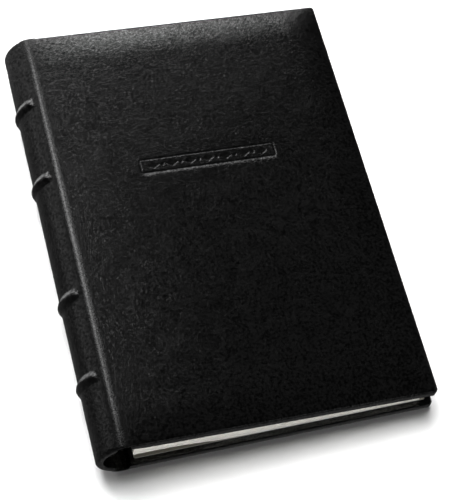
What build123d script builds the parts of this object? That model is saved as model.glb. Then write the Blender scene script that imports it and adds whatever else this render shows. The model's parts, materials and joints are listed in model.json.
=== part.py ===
from build123d import *
import os
from math import asin, atan2, cos, degrees

# A loose-leaf desk address book, closed, lying on its back cover.
# +X runs from the spine to the fore edge, +Y from tail to head, +Z from back cover to front cover.
# The origin is the centre of the back cover's outer face. All sizes are millimetres.

# ---- driving dimensions ----
cover_width = 152.4          # joint line to fore edge
cover_height = 222.25        # tail to head
spine_height = 31.75         # thickness over the covers at the joint
fore_edge_height = 21.7      # thickness over the covers at the fore edge
spine_sagitta = 11.6         # how far the round back stands out from the joint line

leather = 1.0
padding = 1.4
board = 2.0
turn_in = 0.6                # the leather is pared where it is turned in
paper_lining = 0.4
glue = 0.05                  # gap left between neighbouring layers
turn_in_width = 14.0
lining_margin = 3.2          # leather seen around the lining
hinge_strip = 7.2            # leather seen between the joint line and the lining
corner_radius = 2.0
outer_edge_radius = 1.8      # rounding of the padded outer edges
inner_edge_radius = 0.5
lining_corner = 1.0

hinge_depth = 1.0            # the leather joints bend about a line this far under the surface
fold_radius = 4.0            # nothing stiff comes nearer than this to the bending line

band_fractions = (0.167, 0.357, 0.643, 0.833)   # from the head
band_height = 1.4
band_width = 6.0
band_edge_share = 0.98       # of a band's height, taken by the rounding of its edges
core_width = 3.6
core_rise = 0.7              # of the cores over the round back, under the leather of the bands
core_setback = 2.5           # the cores stop this far short of the joint leather

sheet_width = 139.7
sheet_height = 215.9
sheet_x = 6.6                # binding edge, from the joint line
level_length = 11.0          # the sheets lie level this far from the binding edge
flat_x = 62.0                # and come down to the back cover here, from the joint line
block_thickness = 10.0
block_base = 0.15            # clearance over the back lining
sheet_gap = 0.03             # between neighbouring packs and dividers
divider_thickness = 0.35
divider_count = 12
tab_reach = 4.6
tab_length = 24.0
tab_corner = 2.0
tab_margin = 3.0             # from the sheet's ends to the first and the last tab
hole_radius = 3.57
hole_from_edge = 5.7

ring_spacing = 70.0
ring_radius = 7.0
wire_radius = 1.25
ring_x = 6.5                 # ring centre, from the joint line, just behind the binding edge
ring_z = 15.4
leg_offset = 2.6
leg_clearance = 0.5          # round the legs, in the plate's holes
tip_gap_angle = 0.4          # degrees from the ring's middle to each tip
plate_length = 186.0
plate_half_width = 7.5
plate_sagitta = 3.0
plate_gauge = 0.8
trigger_setback = 3.5        # from the plate's end to the trigger's pivot
trigger_length = 11.0
trigger_width = 6.0
trigger_gauge = 1.1
plate_apex_x = -1.2          # from the joint line
trigger_pivot_radius = 1.0
trigger_pad_width = 4.9      # the bent end that the thumb presses
blade_gauge = 0.9
blade_x = -3.6
blade_half_width = 4.5
blade_gap = 0.15             # from the middle to each blade
blade_shortening = 14.0      # the blades end this much short of the plate, for the triggers
blade_grip = 0.02            # clearance of the legs in their own blade
leg_head_radius = 1.85       # riveted end of a ring's leg
leg_head = 0.6
rivet_y = 82.0
rivet_radius = 1.5
rivet_head = 0.7
inner_head_radius = 2.7
inner_head = 0.75
inner_head_rounding = 0.5
rivet_sink = 0.45            # rivet heads lie this far under the back of the curved shell
blade_cutout = 1.0           # round the rivets, in the blades
sleeve_wall = 0.9
sleeve_clearance = 0.4       # from the round lining and the underside of the plate

# ---- derived ----
joint_x = -cover_width / 2
head_y = cover_height / 2
cover_thickness = leather + padding + board + turn_in + paper_lining + 2 * glue
tilt = degrees(asin((spine_height - fore_edge_height) / cover_width))
half_chord = spine_height / 2
spine_radius = (half_chord ** 2 + spine_sagitta ** 2) / (2 * spine_sagitta)
spine_axis_x = joint_x - spine_sagitta + spine_radius
ring_ys = (-ring_spacing, 0.0, ring_spacing)
rivet_ys = (-rivet_y, rivet_y)
trigger_y = plate_length / 2 - trigger_setback
ring_axis_x = joint_x + ring_x
hole_x = joint_x + sheet_x + hole_from_edge
shell_outer = spine_radius - leather - glue
shell_inner = shell_outer - board
spine_lining_outer = shell_inner - turn_in - glue
spine_lining_inner = spine_lining_outer - paper_lining
overcut = 2.0                # how far a cutting body reaches past what it cuts


def slab(x0, x1, y_half, z0, z1):
    """A box between two X and two Z values, centred on Y = 0."""
    return Pos((x0 + x1) / 2, 0, (z0 + z1) / 2) * Box(x1 - x0, 2 * y_half, z1 - z0)


def rod_y(x, z, radius, length, y=0.0):
    """A round bar along Y."""
    return Pos(x, y, z) * Rot(90, 0, 0) * Cylinder(radius, length)


def rod_x(x0, x1, y, z, radius):
    """A round bar along X."""
    return Pos((x0 + x1) / 2, y, z) * Rot(0, 90, 0) * Cylinder(radius, x1 - x0)


def prism_y(outline, length, y=0.0):
    """An outline drawn in X and Z, given thickness along Y."""
    face = Plane.XZ * outline
    return Pos(0, y + length / 2, 0) * extrude(face, length)


# ---- covers: modelled as the back cover, outer face at Z = 0 ----

def fold_clearance(extra=0.0):
    """The round space that the leather joint bends in."""
    return rod_y(joint_x, hinge_depth, fold_radius + extra, cover_height + overcut)


def cover_leather():
    fore = joint_x + cover_width
    depth = cover_thickness - paper_lining - glue
    skin = slab(joint_x, fore, head_y, 0, depth)
    corners = skin.edges().filter_by(Axis.Z).group_by(Axis.X)[-1]
    skin = fillet(corners, corner_radius)
    skin = fillet(skin.faces().sort_by(Axis.Z)[0].edges().sort_by(Axis.X)[1:], outer_edge_radius)
    skin = fillet(skin.faces().sort_by(Axis.Z)[-1].edges().sort_by(Axis.X)[1:], inner_edge_radius)
    pocket_start = joint_x + fold_radius + leather
    pocket = slab(pocket_start, fore - leather, head_y - leather, leather, depth - turn_in)
    window = slab(joint_x + hinge_strip + turn_in_width, fore - turn_in_width,
                  head_y - turn_in_width, depth - turn_in - glue, depth + glue)
    return skin - pocket - window - fold_clearance(glue)


def cover_layer(z0, z1):
    """A sheet of board or padding in the leather's pocket."""
    start = joint_x + fold_radius + leather + glue
    fore = joint_x + cover_width - leather - glue
    return slab(start, fore, head_y - leather - glue, z0, z1)


def cover_infill():
    depth = cover_thickness - paper_lining - glue
    return slab(joint_x + hinge_strip + turn_in_width + glue, joint_x + cover_width - turn_in_width - glue,
                head_y - turn_in_width - glue, depth - turn_in + glue, depth)


def cover_lining():
    sheet = slab(joint_x + hinge_strip, joint_x + cover_width - lining_margin, head_y - lining_margin,
                 cover_thickness - paper_lining, cover_thickness)
    return fillet(sheet.edges().filter_by(Axis.Z), lining_corner)


def cover_parts():
    padding_top = leather + glue + padding - 2 * glue
    board_top = padding_top + glue + board
    return {
        "leather": cover_leather(),
        "padding": cover_layer(leather + glue, padding_top),
        "board": cover_layer(padding_top + glue, board_top),
        "infill": cover_infill(),
        "lining": cover_lining(),
    }


def as_front_cover(piece):
    """Turn a back cover piece over and lay it on the leaves, sloping down to the fore edge."""
    flipped = mirror(piece, Plane.XY)
    hinge = Pos(joint_x, 0, spine_height - hinge_depth)
    return hinge * Rot(0, tilt, 0) * Pos(-joint_x, 0, hinge_depth) * flipped


# ---- spine: a round, hollow back with raised bands ----

def joint_clearances(radius):
    """The round spaces that both leather joints bend in."""
    rear = rod_y(joint_x, hinge_depth, radius, cover_height + overcut)
    front = rod_y(joint_x, spine_height - hinge_depth, radius, cover_height + overcut)
    return rear + front


def back_sector(outer, inner, height):
    """A curved wall along the round back, stopping clear of both leather joints."""
    wall = rod_y(spine_axis_x, half_chord, outer, height)
    wall = wall - rod_y(spine_axis_x, half_chord, inner, height + overcut)
    wall = wall & slab(joint_x - 2 * spine_radius, joint_x, height, -overcut, spine_height + overcut)
    return wall - joint_clearances(fold_radius + glue)


def band_crescent(height, width, y):
    """A raised band: it is highest on the back and dies away before the joints."""
    edge_angle = atan2(half_chord, spine_radius - spine_sagitta) - (fold_radius + glue) / spine_radius
    edge_fall = spine_radius * (1 - cos(edge_angle))
    shift = height * (height + 2 * spine_radius) / (2 * (edge_fall + height))
    radius = spine_radius + height - shift
    crown = rod_y(spine_axis_x - shift, half_chord, radius, width, y)
    crown = fillet(crown.edges(), band_edge_share * height)
    return crown & slab(joint_x - 2 * spine_radius, joint_x, head_y, -overcut, spine_height + overcut)


def band_positions():
    return [head_y - fraction * cover_height for fraction in band_fractions]


def band_cores():
    cores = None
    for y in band_positions():
        core = band_crescent(core_rise, core_width, y)
        core = core - rod_y(spine_axis_x, half_chord, shell_outer + glue, core_width + overcut, y)
        core = core - joint_clearances(fold_radius + core_setback)
        cores = core if cores is None else cores + core
    return cores


def spine_leather(cores):
    skin = back_sector(spine_radius, shell_inner - turn_in, cover_height)
    cavity = back_sector(spine_radius - leather, shell_inner, cover_height - 2 * leather)
    window = back_sector(shell_inner + glue, shell_inner - 2 * turn_in, cover_height - 2 * turn_in_width)
    for y in band_positions():
        band = band_crescent(band_height, band_width, y)
        band = band - rod_y(spine_axis_x, half_chord, spine_radius - leather / 2, band_width + overcut, y)
        skin = skin + (band - joint_clearances(fold_radius + glue))
    return skin - cavity - window - cores


def rivet_holes(radius):
    reach = joint_x - 2 * spine_radius
    return [rod_x(reach, joint_x, y, ring_z, radius) for y in rivet_ys]


def spine_shell():
    shell = back_sector(shell_outer, shell_inner + glue, cover_height - 2 * leather - 2 * glue)
    recess_start = joint_x - spine_radius
    recess_end = spine_axis_x - shell_outer + rivet_sink + rivet_head + glue
    for y, hole in zip(rivet_ys, rivet_holes(rivet_radius + glue)):
        recess = rod_x(recess_start, recess_end, y, ring_z, 2 * rivet_radius + glue)
        shell = shell - hole - recess
    return shell


def spine_lining():
    sheet = back_sector(spine_lining_outer, spine_lining_inner, cover_height - 2 * lining_margin)
    for hole in rivet_holes(rivet_radius + glue):
        sheet = sheet - hole
    return sheet


def above_front_cover():
    """A block whose lower side is the plane of the front cover's outer face at the joint."""
    reach = spine_height + fold_radius
    hinge = Pos(joint_x, 0, spine_height - hinge_depth) * Rot(0, tilt, 0)
    return hinge * Pos(reach, 0, reach + hinge_depth) * Box(2 * reach, cover_height + overcut, 2 * reach)


def joint_leather():
    """The leather that bends at the front joint, from the round back to the edge of the cover."""
    axis_z = spine_height - hinge_depth
    reach = rod_y(joint_x, axis_z, fold_radius, cover_height)
    under_cover = slab(joint_x - 2 * fold_radius, joint_x + 2 * fold_radius, head_y, 0, spine_height)
    outside = rod_y(spine_axis_x, half_chord, spine_radius, cover_height)
    beside = slab(joint_x, joint_x + 2 * fold_radius, head_y, half_chord, spine_height)
    body = reach & under_cover & (outside + beside)
    inner = rod_y(spine_axis_x, half_chord, spine_radius - leather, cover_height + overcut)
    beside_inner = slab(joint_x, joint_x + 2 * fold_radius, head_y + overcut, half_chord,
                        spine_height - leather)
    return body - (inner + beside_inner) - above_front_cover()


# ---- ring mechanism ----

def across_plate(y, z, radius):
    """A round hole's body through the plate and the blades."""
    return rod_x(joint_x + blade_x - overcut, joint_x + overcut, y, z, radius)


def arched_section(outer_x, gauge):
    radius = (plate_half_width ** 2 + plate_sagitta ** 2) / (2 * plate_sagitta)
    axis_x = joint_x + outer_x - radius
    arch = rod_y(axis_x, ring_z, radius, plate_length)
    arch = arch - rod_y(axis_x, ring_z, radius - gauge, plate_length + overcut)
    apex_x = joint_x + outer_x
    return arch & slab(apex_x - plate_sagitta, apex_x + overcut, plate_length, 0, spine_height)


def ring_plate():
    plate = arched_section(plate_apex_x, plate_gauge)
    for y in ring_ys:
        for side in (-1, 1):
            plate = plate - across_plate(y, ring_z + side * leg_offset, wire_radius + leg_clearance)
    for hole in rivet_holes(rivet_radius + glue):
        plate = plate - hole
    return plate


def blade(side):
    """One of the two spring blades under the plate. side is +1 for the front one."""
    strip = Pos(joint_x + blade_x, 0, ring_z + side * (blade_gap + blade_half_width) / 2)
    strip = strip * Box(blade_gauge, plate_length - blade_shortening, blade_half_width - blade_gap)
    for y in ring_ys:
        strip = strip - across_plate(y, ring_z + side * leg_offset, wire_radius + blade_grip)
    for y in rivet_ys:
        strip = strip - across_plate(y, ring_z, rivet_radius + blade_cutout)
    return strip


def half_ring(side, y):
    """A leg out of the blade, then an arc round to the middle of the ring's open side."""
    leg_angle = degrees(asin(leg_offset / ring_radius))
    sweep_angle = 180 - leg_angle - tip_gap_angle
    start = tip_gap_angle if side > 0 else 180 + leg_angle
    path = Pos(0, y, 0) * (Plane.XZ * CenterArc((ring_axis_x, ring_z), ring_radius, start, sweep_angle))
    bend = path @ 1 if side > 0 else path @ 0
    section = Plane(origin=path @ 0, z_dir=path % 0) * Circle(wire_radius)
    wire = sweep(section, path)
    back_x = joint_x + blade_x - blade_gauge / 2
    leg_z = ring_z + side * leg_offset
    leg = rod_x(back_x - leg_head, bend.X, y, leg_z, wire_radius)
    knee = Pos(bend.X, y, bend.Z) * Sphere(wire_radius)
    head = rod_x(back_x - leg_head, back_x - glue, y, leg_z, leg_head_radius)
    return wire + leg + knee + head


def half_rings(side):
    return Compound(children=[half_ring(side, y) for y in ring_ys])


def mounting_rivets():
    plate_face = joint_x + plate_apex_x
    outer_x = spine_axis_x - shell_outer + rivet_sink
    rivets = []
    for y in rivet_ys:
        shank = rod_x(outer_x, plate_face + inner_head, y, ring_z, rivet_radius)
        outer_head = rod_x(outer_x, outer_x + rivet_head, y, ring_z, 2 * rivet_radius)
        rounded_head = rod_x(plate_face + glue, plate_face + glue + inner_head, y, ring_z, inner_head_radius)
        rounded_head = fillet(rounded_head.edges().sort_by(Axis.X)[-1], inner_head_rounding)
        rivets.append(shank + outer_head + rounded_head)
    return Compound(children=rivets)


def spacer_sleeves():
    """Short tubes that hold the plate off the inside of the round back."""
    start = spine_axis_x - spine_lining_inner + sleeve_clearance
    finish = joint_x + plate_apex_x - plate_gauge - sleeve_clearance
    sleeves = []
    for y in rivet_ys:
        tube = rod_x(start, finish, y, ring_z, rivet_radius + sleeve_wall)
        bore = rod_x(start - overcut, finish + overcut, y, ring_z, rivet_radius + glue)
        sleeves.append(tube - bore)
    return Compound(children=sleeves)


def trigger(side):
    """A lever at one end of the plate. side is +1 for the head end."""
    pivot_x = joint_x + blade_x
    knuckle = Pos(pivot_x, side * trigger_y, ring_z) * Cylinder(trigger_pivot_radius, trigger_width)
    tongue = Pos(pivot_x, side * (trigger_y + trigger_length / 2), ring_z)
    tongue = tongue * Box(trigger_gauge, trigger_length, trigger_width)
    pad_x = pivot_x + (trigger_pad_width - trigger_gauge) / 2
    pad = Pos(pad_x, side * (trigger_y + trigger_length), ring_z)
    pad = pad * Box(trigger_pad_width, trigger_gauge, trigger_width)
    return knuckle + tongue + pad


# ---- leaves ----

def leaf_profile(base, thickness, reach):
    """A pile of sheets seen from the tail: flat on the cover, curving up to the rings."""
    lift = ring_z - block_thickness / 2 - (cover_thickness + block_base)
    bind = joint_x + sheet_x
    level_end = bind + level_length
    flat_start = joint_x + flat_x
    middle = (level_end + flat_start) / 2
    top = base + thickness
    low_curve = Bezier((level_end, base + lift), (middle, base + lift), (middle, base), (flat_start, base))
    top_curve = Bezier((flat_start, top), (middle, top), (middle, top + lift), (level_end, top + lift))
    outline = [
        Line((bind, base + lift), (level_end, base + lift)),
        low_curve,
        Line((flat_start, base), (reach, base)),
        Line((reach, base), (reach, top)),
        Line((reach, top), (flat_start, top)),
        top_curve,
        Line((level_end, top + lift), (bind, top + lift)),
        Line((bind, top + lift), (bind, base + lift)),
    ]
    return make_face(Curve() + outline)


def punched(leaf):
    for y in ring_ys:
        leaf = leaf - Pos(hole_x, y, ring_z) * Cylinder(hole_radius, 3 * block_thickness)
    return leaf


def leaf_pack(base, thickness):
    reach = joint_x + sheet_x + sheet_width
    return punched(prism_y(leaf_profile(base, thickness, reach), sheet_height))


def divider(base, order):
    """A card leaf with one tab; the tabs step down from the head to the tail."""
    reach = joint_x + sheet_x + sheet_width
    card = punched(prism_y(leaf_profile(base, divider_thickness, reach), sheet_height))
    run = sheet_height - tab_length - 2 * tab_margin
    tab_y = run / 2 - order * run / (divider_count - 1)
    tab = Pos(reach, tab_y, base + divider_thickness / 2)
    tab = tab * Box(2 * tab_reach, tab_length, divider_thickness)
    tab = fillet(tab.edges().filter_by(Axis.Z).group_by(Axis.X)[-1], tab_corner)
    return card + tab


def leaves():
    """The whole pile, from the back cover upwards: packs of sheets with dividers between them."""
    pack_count = divider_count + 1
    spent = divider_count * divider_thickness + (pack_count + divider_count) * sheet_gap
    pack_thickness = (block_thickness - spent) / pack_count
    base = cover_thickness + block_base
    pile = {}
    for level in range(pack_count):
        order = pack_count - level
        pile[f"leaf_pack_{order:02d}"] = leaf_pack(base, pack_thickness)
        base += pack_thickness + sheet_gap
        if level < divider_count:
            pile[f"divider_{order - 1:02d}"] = divider(base, order - 2)
            base += divider_thickness + sheet_gap
    return pile


def all_parts():
    parts = {}
    for name, piece in cover_parts().items():
        parts["back_" + name] = piece
        parts["front_" + name] = as_front_cover(piece)
    cores = band_cores()
    parts["band_cores"] = cores
    parts["spine_leather"] = spine_leather(cores)
    parts["spine_shell"] = spine_shell()
    parts["spine_lining"] = spine_lining()
    front_joint = joint_leather()
    parts["front_joint_leather"] = front_joint
    parts["rear_joint_leather"] = Pos(0, 0, spine_height) * mirror(front_joint, Plane.XY)
    parts["ring_plate"] = ring_plate()
    for name, side in (("front", 1), ("rear", -1)):
        parts[name + "_blade"] = blade(side)
        parts[name + "_half_rings"] = half_rings(side)
    parts["mounting_rivets"] = mounting_rivets()
    parts["spacer_sleeves"] = spacer_sleeves()
    parts["head_trigger"] = trigger(1)
    parts["tail_trigger"] = trigger(-1)
    parts.update(leaves())
    return parts


os.makedirs("parts", exist_ok=True)
for node, shape in all_parts().items():
    export_step(shape, f"parts/{node}.step")
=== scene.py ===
import bpy
import json
from math import asin, cos, pi, radians, sin, sqrt
import numpy as np
from mathutils import Matrix, Vector


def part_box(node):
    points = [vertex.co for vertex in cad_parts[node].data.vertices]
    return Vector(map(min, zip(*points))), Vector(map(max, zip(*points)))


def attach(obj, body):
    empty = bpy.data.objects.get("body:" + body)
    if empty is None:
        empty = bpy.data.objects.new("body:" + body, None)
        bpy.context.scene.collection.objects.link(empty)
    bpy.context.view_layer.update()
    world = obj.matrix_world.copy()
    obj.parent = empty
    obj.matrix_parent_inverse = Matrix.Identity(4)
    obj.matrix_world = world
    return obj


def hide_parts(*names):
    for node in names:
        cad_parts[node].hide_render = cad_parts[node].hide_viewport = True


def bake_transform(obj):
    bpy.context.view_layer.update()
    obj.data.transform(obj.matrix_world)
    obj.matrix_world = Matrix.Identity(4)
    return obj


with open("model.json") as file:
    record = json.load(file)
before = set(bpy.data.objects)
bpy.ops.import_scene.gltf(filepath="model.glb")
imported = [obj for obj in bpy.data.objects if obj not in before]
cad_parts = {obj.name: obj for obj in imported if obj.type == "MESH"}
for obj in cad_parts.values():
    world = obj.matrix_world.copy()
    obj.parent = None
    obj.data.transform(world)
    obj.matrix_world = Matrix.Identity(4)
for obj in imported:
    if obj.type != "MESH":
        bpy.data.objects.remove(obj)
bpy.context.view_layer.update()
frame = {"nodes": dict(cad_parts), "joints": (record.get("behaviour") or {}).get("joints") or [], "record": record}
joints = {joint["name"]: joint for joint in frame["joints"]}

MM = 0.001

# ---- shapes that the frame doesn't hold ----
LEATHER = 1.05 * MM            # leather with its glue, over the spine shell
SPINE_WALL = 3.55 * MM         # the whole wall of the round back
JOINT_WALL = 1.6 * MM          # the thin leather that bends
FOLD = 4.1 * MM                # reach of the bending leather on either side of the joint
THINNING_START = 0.5 * MM      # the round back's wall begins to thin this far before the fold
THINNING = 0.7 * MM
THICKENING = 0.9 * MM
SEAM_GAP = 0.2 * MM            # between the rear fold and the lower end of the round back's leather
RIDGE_RADIUS = 13.0 * MM       # rounding of the ridge between spine and cover
RIDGE_BEAD = 0.04 * MM         # a slight bead along the ridge
RIDGE_BEAD_WIDTH = 0.75 * MM
TAUT_REACH = 3.5 * MM          # the leather is stretched smooth this far from the ridge
EDGE_ROUND = 1.5 * MM          # outer edge of the padded covers
INNER_ROUND = 0.5 * MM
OUTER_ROUND_SHARE = 0.45       # no rounding takes more than this share of the wall
INNER_ROUND_SHARE = 0.35
RIM_DEPTH = 1.3 * MM           # the turned-in edges of the front cover are padded this thick
RIM_WIDTH = 3.0 * MM
RIM_SLOPE = 1.2 * MM
RIM_START = 6.0 * MM           # the rim begins this far from the joint, and rises over the same length
CROWN_DEPTH = 1.6 * MM         # how far the padded front cover swells in the middle
EDGE_DROP = 0.4 * MM           # how far the padding is squeezed down at the edges
CROWN_REACH = 19.0 * MM
JOINT_REACH = 60.0 * MM        # the swelling starts slowly from the joint
JOINT_EASE = 7.0 * MM          # the squeezed edge runs out over this length of the spine
BACK_CROWN_DEPTH = 0.3 * MM
BAND_HEIGHT = 1.4 * MM
BAND_HALF_WIDTH = 3.1 * MM
BAND_FULLNESS = 0.6            # under 1 makes the raised bands rounder than a cosine
BAND_END = 3.0 * MM            # the bands stop this far from the joints
BAND_FADE = 4.5 * MM
BAND_FRACTIONS = (0.167, 0.357, 0.643, 0.833)
CORNER = 2.0 * MM
WAVE_HEIGHT = 0.028 * MM       # the waviness of leather over foam
WAVE_START = 20.0 * MM
PAD_STEP = 4.0 * MM
PAD_LEAST = 0.3 * MM           # the foam is never thinner than this

# ---- spacing of the skins' grid lines ----
COARSE_STEP = 1.3 * MM
PLAIN_COVER_STEP = 1.6 * MM
ROUND_BACK_STEP = 0.8 * MM
RIDGE_STEP = 0.28 * MM
RIDGE_SPAN = (-7.5 * MM, 6.5 * MM)   # of the fine columns, on either side of the joint
BAND_STEP = 0.42 * MM
STAMP_COLUMN_STEP = 0.25 * MM
STAMP_ROW_STEP = 0.23 * MM
RIM_STEP = 0.3 * MM
RIM_SPAN = 0.9 * MM
FINE_MARGIN = 0.8 * MM         # fine lines reach this far past a band or the stamp
RIM_MARGIN = 0.6 * MM

# ---- the blind stamp ----
STAMP_CENTRE = (0.486, 0.627)  # of the cover's width and height, from the joint and the tail
STAMP_LENGTH = 69.0 * MM
STAMP_HALF_HEIGHT = 4.0 * MM
STAMP_CORNER = 1.6 * MM
STAMP_STROKE = 0.7 * MM
STAMP_PITCH = 9.2 * MM
LOZENGE_HALF_SIZE = (2.7 * MM, 1.8 * MM)
STAMP_DOT = 0.75 * MM
STAMP_WALL = 0.6 * MM
STAMP_DEPTH = 0.3 * MM

# ---- grain of the leather: scales in repeats per metre ----
WARP_SCALE = 420.0
WARP_REACH = 1.2 * MM
CREASE_SCALE = 980.0
TENSION_SCALE = 620.0
PORE_SCALE = 3600.0
MOTTLE_SCALE = 150.0
SPECKLE_SCALE = 760.0
SPECKLE_CONTRAST = 3.2
TENSION_DEPTH = 0.1 * MM
PEBBLE_DEPTH = 0.05 * MM
PORE_DEPTH = 0.01 * MM
LEATHER_BLACKEST = 0.0004
LEATHER_PALEST = 0.0025
SMOOTHING = 0.6                # how much of the grain is lost where the leather is taut

# ---- paper and light ----
SHEET_SCALES = (14.0, 14.0, 5200.0)   # long and thin, so that the noise draws the edges of sheets
FIBRE_SCALE = 1800.0
PAINTED_FACE_SHADE = (0.68, 0.66, 0.62)   # painted shade: the faces of the sheets are darkened against their cut edges, to hold back the overhead lamp
LINE_SPACING = 8.0 * MM
LINE_SHARE = 0.045             # of the spacing, taken by the line itself
LINE_TONE = (0.42, 0.45, 0.50)
LINE_MARGINS = (20.0 * MM, 10.0 * MM, 14.0 * MM)   # at the rings, the fore edge, the head and tail
FLOOR_GLOW = 1.5               # how bright the lit floor on the head side looks to the leather
SKY_LOW = 0.13                 # strength of the white surroundings below the horizon
SKY_HIGH = 0.032

# ---- places from the frame ----
joint_x = joints["rear_hinge"]["pos_m"][0]
hinge_depth = joints["rear_hinge"]["pos_m"][2]
front_hinge_z = joints["front_hinge"]["pos_m"][2]
spine_height = front_hinge_z + hinge_depth
back_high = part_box("back_leather")[1]
half_height = back_high[1]
cover_width = back_high[0] - joint_x
cover_thickness = back_high[2]
infill_low, infill_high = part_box("back_infill")
front_infill_low, front_infill_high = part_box("front_infill")
infill_width = infill_high[0] - infill_low[0]
infill_rise = (front_infill_high[2] - front_infill_low[2]) - (infill_high[2] - infill_low[2])
cover_tilt = asin(infill_rise / infill_width)
sagitta = joint_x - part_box("spine_shell")[0][0] + LEATHER
half_chord = spine_height / 2
spine_radius = (half_chord ** 2 + sagitta ** 2) / (2 * sagitta)
spine_axis_x = joint_x - sagitta + spine_radius
ridge_angle = asin(half_chord / spine_radius)
band_ys = [half_height - fraction * 2 * half_height for fraction in BAND_FRACTIONS]
stamp_u = STAMP_CENTRE[0] * cover_width
stamp_y = (2 * STAMP_CENTRE[1] - 1) * half_height
stamp_half_length = STAMP_LENGTH / 2


# ---------------------------------------------------------------- node helpers

def new_material(name):
    material = bpy.data.materials.new(name)
    material.use_nodes = True
    tree = material.node_tree
    tree.nodes.clear()
    output = tree.nodes.new("ShaderNodeOutputMaterial")
    shader = tree.nodes.new("ShaderNodeBsdfPrincipled")
    tree.links.new(shader.outputs["BSDF"], output.inputs["Surface"])
    return material, tree, shader


def add(tree, kind, inputs=None, **settings):
    """A shader node with its settings and inputs. An input is a value or another node's socket."""
    node = tree.nodes.new(kind)
    for key, value in settings.items():
        setattr(node, key, value)
    for key, value in (inputs or {}).items():
        if isinstance(value, bpy.types.NodeSocket):
            tree.links.new(value, node.inputs[key])
        else:
            node.inputs[key].default_value = value
    return node


def math(tree, operation, first, second=0.0, clamp=False):
    node = tree.nodes.new("ShaderNodeMath")
    node.operation = operation
    node.use_clamp = clamp
    for index, value in enumerate((first, second)):
        if isinstance(value, bpy.types.NodeSocket):
            tree.links.new(value, node.inputs[index])
        else:
            node.inputs[index].default_value = value
    return node.outputs[0]


def map_range(tree, value, source, target):
    """The value carried over from the source range to the target range, and held at its ends."""
    names = ("Value", "From Min", "From Max", "To Min", "To Max")
    inputs = dict(zip(names, (value, *source, *target)))
    return add(tree, "ShaderNodeMapRange", inputs).outputs["Result"]


def ramp(tree, factor, stops):
    """A colour ramp from (position, colour) stops."""
    node = tree.nodes.new("ShaderNodeValToRGB")
    elements = node.color_ramp.elements
    while len(elements) < len(stops):
        elements.new(0.5)
    for element, (position, colour) in zip(elements, stops):
        element.position = position
        element.color = (*colour, 1.0)
    tree.links.new(factor, node.inputs["Fac"])
    return node.outputs["Color"]


def grey(value):
    return (value, value, value)


def object_coordinates(tree):
    return tree.nodes.new("ShaderNodeTexCoord").outputs["Object"]


def bump(tree, height, strength, distance, normal=None):
    inputs = {"Height": height, "Strength": strength, "Distance": distance}
    if normal is not None:
        inputs["Normal"] = normal
    return add(tree, "ShaderNodeBump", inputs).outputs["Normal"]


def noise(tree, vector, scale, detail=3.0, roughness=0.55):
    inputs = {"Vector": vector, "Scale": scale, "Detail": detail, "Roughness": roughness}
    return add(tree, "ShaderNodeTexNoise", inputs).outputs["Fac"]


# ---------------------------------------------------------------- materials

def leather_material():
    """Black full-grain leather: pebbles between creases, uneven tension and pores, smoother where taut."""
    material, tree, shader = new_material("black_leather")
    place = object_coordinates(tree)
    warp = add(tree, "ShaderNodeTexNoise", {"Vector": place, "Scale": WARP_SCALE, "Detail": 2.0})
    offset = add(tree, "ShaderNodeVectorMath", {0: warp.outputs["Color"], 1: grey(WARP_REACH)},
                 operation="MULTIPLY")
    warped = add(tree, "ShaderNodeVectorMath", {0: place, 1: offset.outputs[0]}, operation="ADD").outputs[0]
    crease = add(tree, "ShaderNodeTexVoronoi", {"Vector": warped, "Scale": CREASE_SCALE},
                 feature="DISTANCE_TO_EDGE").outputs["Distance"]
    pebble = math(tree, "POWER", math(tree, "MULTIPLY", crease, 2.6, True), 0.6)
    tension = noise(tree, place, TENSION_SCALE, 3.0, 0.6)
    pore = noise(tree, place, PORE_SCALE, 2.0)
    mottle = noise(tree, place, MOTTLE_SCALE, 5.0, 0.65)
    speckle = math(tree, "SUBTRACT", noise(tree, place, SPECKLE_SCALE, 2.0, 0.6), 0.5)
    speckle = math(tree, "ADD", math(tree, "MULTIPLY", speckle, SPECKLE_CONTRAST), 0.5, True)
    # Colour: the speckles and the larger mottles are a little paler.
    shade = math(tree, "ADD", math(tree, "MULTIPLY", speckle, 0.6), math(tree, "MULTIPLY", mottle, 0.4))
    colour = ramp(tree, shade, [(0.25, grey(LEATHER_BLACKEST)), (0.75, grey(LEATHER_PALEST))])
    tree.links.new(colour, shader.inputs["Base Color"])
    # Roughness: uneven over the hide, lower on the speckles, higher where the leather is taut.
    taut = add(tree, "ShaderNodeAttribute", attribute_name="taut").outputs["Fac"]
    rough = math(tree, "ADD", math(tree, "MULTIPLY", mottle, 0.16), 0.15)
    rough = math(tree, "SUBTRACT", rough, math(tree, "MULTIPLY", speckle, 0.05))
    rough = math(tree, "ADD", rough, math(tree, "MULTIPLY", taut, 0.06))
    tree.links.new(rough, shader.inputs["Roughness"])
    # Shine: stronger on speckles and pebbles, even where taut, dull where the stamp pressed.
    polish = math(tree, "ADD", math(tree, "MULTIPLY", speckle, 0.48), 0.06)
    polish = math(tree, "ADD", polish, math(tree, "MULTIPLY", pebble, 0.18))
    looseness = math(tree, "SUBTRACT", 1.0, math(tree, "MULTIPLY", taut, SMOOTHING))
    polish = math(tree, "MULTIPLY", polish, looseness)
    polish = math(tree, "ADD", polish, math(tree, "MULTIPLY", taut, 0.27))
    pressed = add(tree, "ShaderNodeAttribute", attribute_name="pressed").outputs["Fac"]
    unpressed = math(tree, "SUBTRACT", 1.0, math(tree, "MULTIPLY", pressed, 0.8))
    polish = math(tree, "MULTIPLY", polish, unpressed)
    tree.links.new(polish, shader.inputs["Specular IOR Level"])
    coarse = bump(tree, tension, looseness, TENSION_DEPTH)
    grain = bump(tree, pebble, math(tree, "MULTIPLY", looseness, 0.7), PEBBLE_DEPTH, coarse)
    fine = bump(tree, pore, 0.5, PORE_DEPTH, grain)
    tree.links.new(fine, shader.inputs["Normal"])
    return material


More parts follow.
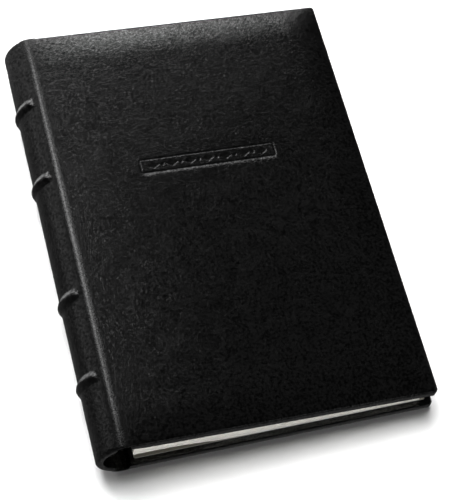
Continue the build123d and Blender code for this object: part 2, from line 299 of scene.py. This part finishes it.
def paper_material(name, light, shade, ruled=False):
    """Paper: fibres on the faces and fine sheet lines on the edges, with ruled lines if asked, and painted shade
    on the faces.
    """
    material, tree, shader = new_material(name)
    coordinates = tree.nodes.new("ShaderNodeTexCoord")
    place = coordinates.outputs["Object"]
    normal = add(tree, "ShaderNodeSeparateXYZ", {"Vector": coordinates.outputs["Normal"]})
    facing = math(tree, "GREATER_THAN", math(tree, "ABSOLUTE", normal.outputs["Z"]), 0.8)
    stretched = add(tree, "ShaderNodeMapping", {"Vector": place, "Scale": SHEET_SCALES}).outputs[0]
    sheets = noise(tree, stretched, 1.0, 3.0, 0.6)
    fibre = noise(tree, place, FIBRE_SCALE, 4.0, 0.6)
    factor = add(tree, "ShaderNodeMix", {"Factor": facing, "A": sheets, "B": fibre}).outputs["Result"]
    colour = ramp(tree, factor, [(0.25, shade), (0.75, light)])
    if ruled:
        colour = ruled_lines(tree, place, facing, colour)
    # Painted shade: the faces of the sheets are multiplied darker than their cut edges.
    shaded = add(tree, "ShaderNodeMix", {"Factor": facing}, data_type="RGBA", blend_type="MULTIPLY")
    tree.links.new(colour, shaded.inputs[6])
    shaded.inputs[7].default_value = (*PAINTED_FACE_SHADE, 1.0)
    tree.links.new(shaded.outputs[2], shader.inputs["Base Color"])
    shader.inputs["Roughness"].default_value = 0.78
    shader.inputs["Specular IOR Level"].default_value = 0.25
    tree.links.new(bump(tree, factor, 0.35, 0.06 * MM), shader.inputs["Normal"])
    return material


def ruled_lines(tree, place, facing, colour):
    """Thin grey writing lines across the page, clear of the margins."""
    ring_margin, fore_margin, end_margin = LINE_MARGINS
    leaf_low, leaf_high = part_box("leaf_pack_01")
    axes = add(tree, "ShaderNodeSeparateXYZ", {"Vector": place})
    row = math(tree, "FRACT", math(tree, "DIVIDE", axes.outputs["Y"], LINE_SPACING))
    line = math(tree, "LESS_THAN", row, LINE_SHARE)
    right = math(tree, "LESS_THAN", axes.outputs["X"], leaf_high[0] - fore_margin)
    left = math(tree, "GREATER_THAN", axes.outputs["X"], leaf_low[0] + ring_margin)
    inside = math(tree, "LESS_THAN", math(tree, "ABSOLUTE", axes.outputs["Y"]), leaf_high[1] - end_margin)
    mask = math(tree, "MULTIPLY", math(tree, "MULTIPLY", line, right), math(tree, "MULTIPLY", left, inside))
    mask = math(tree, "MULTIPLY", mask, facing)
    mix = add(tree, "ShaderNodeMix", {"Factor": mask}, data_type="RGBA")
    tree.links.new(colour, mix.inputs[6])
    mix.inputs[7].default_value = (*LINE_TONE, 1.0)
    return mix.outputs[2]


def metal_material():
    """Bright nickel plate with faint drawing lines and handling marks."""
    material, tree, shader = new_material("nickel_plate")
    place = object_coordinates(tree)
    drawn = add(tree, "ShaderNodeMapping", {"Vector": place, "Scale": (1.0, 0.06, 1.0)}).outputs[0]
    lines = noise(tree, drawn, 2600.0, 3.0)
    marks = noise(tree, place, 120.0, 4.0)
    shader.inputs["Metallic"].default_value = 1.0
    colour = ramp(tree, marks, [(0.3, (0.62, 0.61, 0.59)), (0.7, (0.74, 0.73, 0.72))])
    tree.links.new(colour, shader.inputs["Base Color"])
    rough = math(tree, "ADD", math(tree, "MULTIPLY", marks, 0.16), 0.10)
    tree.links.new(rough, shader.inputs["Roughness"])
    tree.links.new(bump(tree, lines, 0.08, 0.04 * MM), shader.inputs["Normal"])
    return material


def board_material():
    """Grey binder's board with dark and light fibres."""
    material, tree, shader = new_material("grey_board")
    place = object_coordinates(tree)
    flecks = noise(tree, place, 900.0, 5.0, 0.7)
    colour = ramp(tree, flecks, [(0.3, (0.20, 0.18, 0.15)), (0.7, (0.42, 0.39, 0.34))])
    tree.links.new(colour, shader.inputs["Base Color"])
    shader.inputs["Roughness"].default_value = 0.9
    tree.links.new(bump(tree, flecks, 0.4, 0.1 * MM), shader.inputs["Normal"])
    return material


def wadding_material():
    """Off-white foam with small open cells, their pits painted darker as painted shade."""
    material, tree, shader = new_material("foam_wadding")
    place = object_coordinates(tree)
    cells = add(tree, "ShaderNodeTexVoronoi", {"Vector": place, "Scale": 1500.0}).outputs["Distance"]
    # Painted shade: the colour is darker in the pits of the cells, where the bump sinks.
    colour = ramp(tree, cells, [(0.1, (0.45, 0.43, 0.38)), (0.6, (0.78, 0.76, 0.70))])
    tree.links.new(colour, shader.inputs["Base Color"])
    shader.inputs["Roughness"].default_value = 0.95
    tree.links.new(bump(tree, cells, 0.5, 0.2 * MM), shader.inputs["Normal"])
    return material


def paint_cad_nodes():
    """The CAD nodes that stay get their own procedural materials."""
    paper = paper_material("leaf_paper", (0.92, 0.91, 0.87), (0.74, 0.73, 0.69), ruled=True)
    card = paper_material("divider_card", (0.83, 0.80, 0.72), (0.68, 0.65, 0.57))
    lining = paper_material("endpaper", (0.78, 0.76, 0.71), (0.62, 0.60, 0.55))
    looks = {
        "leaf_paper": paper,
        "divider_card": card,
        "lining": lining,
        "ring_metal": metal_material(),
        "board": board_material(),
        "padding": wadding,
        "leather": leather,
    }
    slots = {part["node"]: part["material_slot"] for part in frame["record"]["subparts"]}
    for name, node in frame["nodes"].items():
        node.data.materials.clear()
        node.data.materials.append(looks[slots[name]])


# ---------------------------------------------------------------- leather skins

def smooth(x):
    x = np.clip(x, 0, 1)
    return x * x * (3 - 2 * x)


def spread(start, end, step):
    """Evenly spaced values from start to end, about one step apart, without the last."""
    count = max(1, round((end - start) / step))
    return start + (end - start) * np.arange(count) / count


def end_spacing(radius, count=7):
    """Distances from an edge that follow a rounding evenly."""
    return radius * (1 - np.cos(np.linspace(0, pi / 2, count)))


def rows_across_height():
    """Y values of the skin's rows: fine at the ends, at the raised bands and at the stamp."""
    near_ends = end_spacing(EDGE_ROUND)
    fine = [(y, BAND_HALF_WIDTH + FINE_MARGIN, BAND_STEP) for y in band_ys]
    fine.append((stamp_y, STAMP_HALF_HEIGHT + FINE_MARGIN, STAMP_ROW_STEP))
    fine += [(side * (half_height - RIM_WIDTH + RIM_STEP), RIM_SPAN, RIM_STEP) for side in (-1, 1)]
    rows = [-half_height + EDGE_ROUND]
    while rows[-1] < half_height - EDGE_ROUND:
        here = rows[-1]
        steps = [step for middle, reach, step in fine if abs(here + step / 2 - middle) <= reach]
        rows.append(here + min(steps, default=COARSE_STEP))
    middle_rows = np.array(rows[:-1])
    return np.concatenate([-half_height + near_ends[:-1], middle_rows, half_height - near_ends[::-1]])


def columns_along_skin(start_angle, with_stamp):
    """Distances along the outer skin: negative on the round back, positive on the cover."""
    back_start = -(ridge_angle - start_angle) * spine_radius
    near, far = RIDGE_SPAN
    parts = [spread(back_start, near, ROUND_BACK_STEP)] if back_start < near else []
    parts.append(spread(max(back_start, near), far, RIDGE_STEP))
    fine_start = stamp_u - stamp_half_length - FINE_MARGIN
    fine_end = stamp_u + stamp_half_length + FINE_MARGIN
    rim_start = cover_width - RIM_WIDTH - RIM_MARGIN
    if with_stamp:
        parts.append(spread(far, fine_start, COARSE_STEP))
        parts.append(spread(fine_start, fine_end, STAMP_COLUMN_STEP))
        parts.append(spread(fine_end, rim_start, COARSE_STEP))
        parts.append(spread(rim_start, cover_width - EDGE_ROUND, RIM_STEP))
    else:
        parts.append(spread(far, cover_width - EDGE_ROUND, PLAIN_COVER_STEP))
    parts.append(cover_width - end_spacing(EDGE_ROUND)[::-1])
    return np.concatenate(parts)


def skin_path(s, tilt):
    """Points and outward directions of the outer skin in X and Z, for a front cover at that tilt."""
    turn = (pi / 2 - ridge_angle) + tilt
    half_arc = RIDGE_RADIUS * turn / 2
    ridge = np.array([joint_x, spine_height])
    angle = ridge_angle + np.minimum(s, 0) / spine_radius
    back_x = spine_axis_x - spine_radius * np.cos(angle)
    back_z = half_chord + spine_radius * np.sin(angle)
    on_back = np.stack([back_x, back_z], 1)
    along = np.array([cos(tilt), -sin(tilt)])
    on_cover = ridge + np.maximum(s, 0)[:, None] * along
    point = np.where((s < 0)[:, None], on_back, on_cover)
    back_normal = np.stack([-np.cos(angle), np.sin(angle)], 1)
    cover_normal = np.array([sin(tilt), cos(tilt)])
    share = smooth((s + half_arc) / (2 * half_arc))[:, None]
    normal = back_normal * (1 - share) + cover_normal * share
    normal /= np.linalg.norm(normal, axis=1)[:, None]
    sink = np.clip(half_arc - np.abs(s), 0, None) ** 2 / (2 * RIDGE_RADIUS)
    return point - normal * sink[:, None], normal


def wall_thickness(s):
    """Thickness of the skin and what it covers: round back, thin joint, then the cover."""
    into_joint = smooth((s + FOLD + THINNING_START) / THINNING)
    out_of_joint = smooth((s - FOLD) / THICKENING)
    wall = SPINE_WALL + (JOINT_WALL - SPINE_WALL) * into_joint
    return wall + (cover_thickness - JOINT_WALL) * out_of_joint


def rounding(distance, radius):
    """How far a rounded edge falls away at a distance from the edge."""
    inside = np.clip(radius - distance, 0, radius)
    return radius - np.sqrt(radius ** 2 - inside ** 2)


def rise(distance):
    """The swelling of the foam, from 0 at an edge to 1."""
    return 1 - np.clip(1 - distance / CROWN_REACH, 0, 1) ** 2


def swelling(u, y, front):
    """Height of the padded cover over its plane: squeezed at the edges, slowly rising from the joint."""
    depth = CROWN_DEPTH if front else BACK_CROWN_DEPTH
    drop = EDGE_DROP if front else 0
    from_edges = rise(cover_width - u) * rise(half_height - np.abs(y))
    from_joint = np.sin(pi / 2 * np.clip(u / JOINT_REACH, 0, 1))
    return depth * from_joint * from_edges - drop * (1 - from_edges) * smooth(1 + u / JOINT_EASE)


def band_profile(y):
    """Height of the raised bands over the round back, from 0 to 1."""
    total = np.zeros_like(y)
    for middle in band_ys:
        offset = np.clip(abs(y - middle) / BAND_HALF_WIDTH, 0, 1)
        total = total + (0.5 + 0.5 * np.cos(pi * offset)) ** BAND_FULLNESS
    return total


def stamp_mask(u, y):
    """The blind stamp: a long frame round a row of lozenges and dots, 1 where pressed and 0 outside."""
    x = u - stamp_u
    across = np.abs(y - stamp_y)
    corner_x = np.abs(x) - (stamp_half_length - STAMP_CORNER)
    corner_y = across - (STAMP_HALF_HEIGHT - STAMP_CORNER)
    outside = np.hypot(np.clip(corner_x, 0, None), np.clip(corner_y, 0, None)) - STAMP_CORNER
    frame_edge = outside + np.minimum(np.maximum(corner_x, corner_y), 0)
    outline = np.abs(frame_edge + STAMP_STROKE / 2) - STAMP_STROKE / 2
    row_end = stamp_half_length - STAMP_PITCH / 2
    from_lozenge = np.abs((x + STAMP_PITCH / 2) % STAMP_PITCH - STAMP_PITCH / 2)
    half_length, half_breadth = LOZENGE_HALF_SIZE
    slope = half_breadth / half_length
    lozenge = (from_lozenge * slope + across - half_breadth) / sqrt(1 + slope ** 2)
    dot = np.hypot(STAMP_PITCH / 2 - from_lozenge, across) - STAMP_DOT
    row = np.where(np.abs(x) < row_end, np.minimum(lozenge, dot), STAMP_PITCH)
    return 1 - smooth(np.minimum(outline, row) / STAMP_WALL + 0.5)


def unevenness(u, y):
    """The slight waviness of leather over foam: waves across and along the cover, in radians per metre."""
    waves = [(61, 37, 0.3), (-43, 71, 1.9), (97, 19, 4.1)]
    waves += [(23, -89, 2.7), (151, 113, 0.8), (-127, 163, 5.2)]
    total = 0
    for across, along, phase in waves:
        total = total + np.sin(across * u + along * y + phase) / (1 + 0.01 * abs(across))
    return WAVE_HEIGHT * total


def round_corners(u, y):
    """Moves a square grid's fore-edge corners onto a rounded outline."""
    across = np.clip((u - (cover_width - CORNER)) / CORNER, 0, 1)
    along = np.clip((np.abs(y) - (half_height - CORNER)) / CORNER, 0, 1)
    shift_u = CORNER * across * (np.sqrt(1 - along ** 2 / 2) - 1)
    shift_y = CORNER * along * (np.sqrt(1 - across ** 2 / 2) - 1)
    return u + shift_u, y + np.sign(y) * shift_y


def edge_distance(u, y):
    """Distance from the head, tail or fore edge, with rounded fore-edge corners."""
    fore = cover_width - u
    end = half_height - np.abs(y)
    corner = CORNER - np.hypot(np.clip(CORNER - fore, 0, None), np.clip(CORNER - end, 0, None))
    in_corner = (fore < CORNER) & (end < CORNER)
    return np.where(in_corner, corner, np.minimum(fore, end))


def skin_surfaces(start_angle, tilt, front):
    """Grids of the outer and inner surface of one cover with its joint and its share of the round back."""
    s = columns_along_skin(start_angle, front)
    y = rows_across_height()
    path, normal = skin_path(s, tilt)
    grid_s, grid_y = np.meshgrid(s, y, indexing="ij")
    moved_s, moved_y = round_corners(grid_s, grid_y)
    moved_y = np.where(grid_s > 0, moved_y, grid_y)
    slide = (moved_s - grid_s)[..., None] * np.array([cos(tilt), -sin(tilt)])
    wall = wall_thickness(s)[:, None]
    distance = np.clip(edge_distance(moved_s, moved_y), 0, None)
    outer_round = np.minimum(EDGE_ROUND, OUTER_ROUND_SHARE * wall)
    inner_round = np.minimum(INNER_ROUND, INNER_ROUND_SHARE * wall)
    on_cover = smooth(moved_s / WAVE_START)
    swell = swelling(moved_s, moved_y, front)
    bead = RIDGE_BEAD * np.exp(-(moved_s / RIDGE_BEAD_WIDTH) ** 2)
    fade = smooth((-moved_s - BAND_END) / BAND_FADE)
    rear_fade = smooth((moved_s + 2 * ridge_angle * spine_radius - BAND_END) / BAND_FADE)
    bands = BAND_HEIGHT * band_profile(moved_y) * fade * rear_fade
    outward = bead + bands + swell - rounding(distance, outer_round)
    stamp = stamp_mask(moved_s, moved_y)
    if front:
        outward = outward - STAMP_DEPTH * stamp
        outward = outward + unevenness(moved_s, moved_y) * on_cover
    rim = RIM_DEPTH * smooth((RIM_WIDTH - distance) / RIM_SLOPE) * smooth(moved_s / RIM_START - 1) * front
    inward = wall + rim - rounding(distance, inner_round + 0.5 * rim)
    marks = {"pressed": stamp, "taut": np.exp(-(moved_s / TAUT_REACH) ** 2)}
    outer = path[:, None, :] + slide + normal[:, None, :] * outward[..., None]
    inner = path[:, None, :] + slide - normal[:, None, :] * inward[..., None]
    return outer, inner, moved_y, marks


def quads(low, high, flip):
    """Faces between two rows of vertex numbers."""
    faces = np.stack([low[:-1], low[1:], high[1:], high[:-1]], 1)
    return faces[:, ::-1] if flip else faces


def skin_mesh(name, outer, inner, y, mirrored):
    """Joins the two surfaces round their edges into one closed mesh."""
    def place(surface):
        z = spine_height - surface[..., 1] if mirrored else surface[..., 1]
        return np.stack([surface[..., 0], y, z], -1)

    columns, rows = y.shape
    points = np.concatenate([place(outer).reshape(-1, 3), place(inner).reshape(-1, 3)])
    upper = np.arange(columns * rows).reshape(columns, rows)
    lower = upper + columns * rows
    faces = []
    for i in range(columns - 1):
        faces.append(quads(upper[i], upper[i + 1], not mirrored))
        faces.append(quads(lower[i], lower[i + 1], mirrored))
    rim_upper = np.concatenate([upper[:-1, 0], upper[-1, :-1], upper[:0:-1, -1], upper[0, :0:-1]])
    rim_lower = np.concatenate([lower[:-1, 0], lower[-1, :-1], lower[:0:-1, -1], lower[0, :0:-1]])
    closed_upper = np.append(rim_upper, rim_upper[0])
    closed_lower = np.append(rim_lower, rim_lower[0])
    faces.append(quads(closed_upper, closed_lower, not mirrored))
    mesh = bpy.data.meshes.new(name)
    mesh.from_pydata(points.tolist(), [], np.concatenate(faces).tolist())
    mesh.validate()
    mesh.shade_smooth()
    piece = bpy.data.objects.new(name, mesh)
    bpy.context.scene.collection.objects.link(piece)
    mesh.materials.append(leather)
    return piece


def leather_skins():
    """One skin over the front cover and the round back, and one under the back cover."""
    seam = -(ridge_angle - (FOLD + SEAM_GAP) / spine_radius)
    outer, inner, y, marks = skin_surfaces(seam, cover_tilt, True)
    front = skin_mesh("front_and_spine_leather", outer, inner, y, False)
    for name, amount in marks.items():
        mark = front.data.attributes.new(name, "FLOAT", "POINT")
        mark.data.foreach_set("value", np.concatenate([amount.ravel(), np.zeros(amount.size)]))
    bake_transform(front)
    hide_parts("front_leather", "spine_leather", "front_joint_leather")
    outer, inner, y, _ = skin_surfaces(-seam, 0.0, False)
    back = skin_mesh("back_cover_leather", outer, inner, y, True)
    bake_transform(back)
    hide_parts("back_leather", "rear_joint_leather")


def crowned_pad(name, node, tilt, front):
    """A foam pad between board and leather, rounded down at the edges."""
    board_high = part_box("back_board")[1]
    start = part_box("back_padding")[0][0] - joint_x
    end = board_high[0] - joint_x
    reach = board_high[1]
    ease = end_spacing(CROWN_REACH)
    u = np.concatenate([spread(start, end - CROWN_REACH, PAD_STEP), end - CROWN_REACH + ease])
    y = np.concatenate([ease[:-1] - reach, spread(CROWN_REACH - reach, reach - CROWN_REACH, PAD_STEP),
                        reach - ease[::-1]])
    grid_u, grid_y = np.meshgrid(u, y, indexing="ij")
    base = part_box("back_padding")[1][2] * np.ones_like(grid_u)
    top = np.minimum(LEATHER - swelling(grid_u, grid_y, front), base - PAD_LEAST)
    along = np.array([cos(tilt), -sin(tilt)])
    across = np.array([sin(tilt), cos(tilt)])
    hinge = np.array([joint_x, front_hinge_z])
    line = hinge + grid_u[..., None] * along
    outer = line + (hinge_depth - top)[..., None] * across
    inner = line + (hinge_depth - base)[..., None] * across
    pad = skin_mesh(name, outer, inner, grid_y, not front)
    pad.data.materials.clear()
    pad.data.materials.append(wadding)
    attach(pad, "front_cover" if front else "back_cover")
    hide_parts(node)


# ---------------------------------------------------------------- stage

def pale_floor():
    """A white table just under the back cover, which swells a little below its plane."""
    bpy.ops.mesh.primitive_plane_add(size=6.0, location=(0, 0, -BACK_CROWN_DEPTH))
    floor = bpy.context.object
    floor.name = "floor"
    material, tree, shader = new_material("pale_floor")
    speckle = noise(tree, object_coordinates(tree), 30.0, 2.0)
    colour = ramp(tree, speckle, [(0.3, grey(0.93)), (0.7, grey(0.95))])
    tree.links.new(colour, shader.inputs["Base Color"])
    shader.inputs["Roughness"].default_value = 0.9
    shader.inputs["Specular IOR Level"].default_value = 0.0
    floor.data.materials.append(material)
    floor.visible_glossy = False


def soft_light(name, direction, distance, size, power):
    """A rectangular lamp that looks at the book from an azimuth and an elevation.

    Azimuth 0 is the tail side and 90 the spine side. Size is width by height.
    """
    around, up = map(radians, direction)
    place = Vector((-sin(around) * cos(up), -cos(around) * cos(up), sin(up))) * distance
    lamp = bpy.data.lights.new(name, "AREA")
    lamp.shape = "RECTANGLE"
    lamp.size, lamp.size_y = size
    lamp.energy = power
    piece = bpy.data.objects.new(name, lamp)
    piece.location = place
    piece.rotation_euler = (-place).to_track_quat("-Z", "Y").to_euler()
    bpy.context.scene.collection.objects.link(piece)
    return piece


def lights():
    """A broad lamp overhead lights the floor and the paper, and tail_fill the page edges.

    The others draw the highlights in the black leather, with the white surroundings and the floor's glow.
    Angles are in degrees, distances and sizes in metres, powers in watts.
    """
    overhead = soft_light("overhead_softbox", (165, 72), 1.4, (0.9, 0.8), 30)
    overhead.visible_glossy = False
    soft_light("head_softbox", (180, 33.5), 1.5, (1.1, 0.56), 12)
    soft_light("ridge_strip", (152, 60), 1.5, (0.35, 0.5), 5.2)
    soft_light("left_softbox", (121, 20), 1.5, (1.0, 1.0), 1.7)
    soft_light("band_strip", (155, 18), 1.5, (0.6, 0.6), 6)
    tail_fill = soft_light("tail_fill", (-12, 11), 1.8, (1.4, 0.5), 5)
    tail_fill.visible_glossy = False
    soft_light("tail_strip", (-12, 6), 1.6, (1.4, 0.2), 0.9)
    soft_light("right_fill", (278, 22), 1.6, (1.0, 0.6), 2)
    world = bpy.data.worlds.new("studio")
    world.use_nodes = True
    tree = world.node_tree
    tree.nodes["Background"].inputs["Color"].default_value = (1.0, 1.0, 1.0, 1.0)
    seen = tree.nodes.new("ShaderNodeTexCoord").outputs["Generated"]
    direction = add(tree, "ShaderNodeSeparateXYZ", {"Vector": seen})
    sky = map_range(tree, direction.outputs["Z"], (-0.1, 0.15), (SKY_LOW, SKY_HIGH))
    head_side = map_range(tree, direction.outputs["Y"], (0.56, 0.74), (0.0, FLOOR_GLOW))
    below = map_range(tree, direction.outputs["Z"], (-0.1, 0.05), (1.0, 0.0))
    strength = math(tree, "ADD", sky, math(tree, "MULTIPLY", head_side, below))
    tree.links.new(strength, tree.nodes["Background"].inputs["Strength"])
    bpy.context.scene.world = world
    bpy.context.scene.view_settings.view_transform = "Standard"


def camera():
    """A long lens from above the tail and the spine, a little rolled, as the object was pictured."""
    turn = radians(-24.8)
    tip = radians(62.3)
    roll = radians(11.95)
    distance = 0.794
    across, along = 0.485, 0.423   # of the cover's width and height, as for the stamp
    aim = Vector((joint_x + across * cover_width, (2 * along - 1) * half_height, half_chord))
    forward = Vector((-sin(turn) * cos(tip), cos(turn) * cos(tip), -sin(tip)))
    right = Vector((cos(turn), sin(turn), 0))
    up = right.cross(forward)
    right, up = right * cos(roll) + up * sin(roll), up * cos(roll) - right * sin(roll)
    lens = bpy.data.cameras.new("camera")
    lens.sensor_width = 36.0   # in millimetres, as the focal length
    lens.lens = 117.76
    lens.clip_start = 0.01
    eye = bpy.data.objects.new("camera", lens)
    basis = Matrix((right, up, -forward)).transposed().to_4x4()
    eye.matrix_world = Matrix.Translation(aim - forward * distance) @ basis
    bpy.context.scene.collection.objects.link(eye)
    bpy.context.scene.camera = eye


leather = leather_material()
wadding = wadding_material()
paint_cad_nodes()
leather_skins()
crowned_pad("front_crowned_pad", "front_padding", cover_tilt, True)
crowned_pad("back_crowned_pad", "back_padding", 0.0, False)
pale_floor()
lights()
camera()
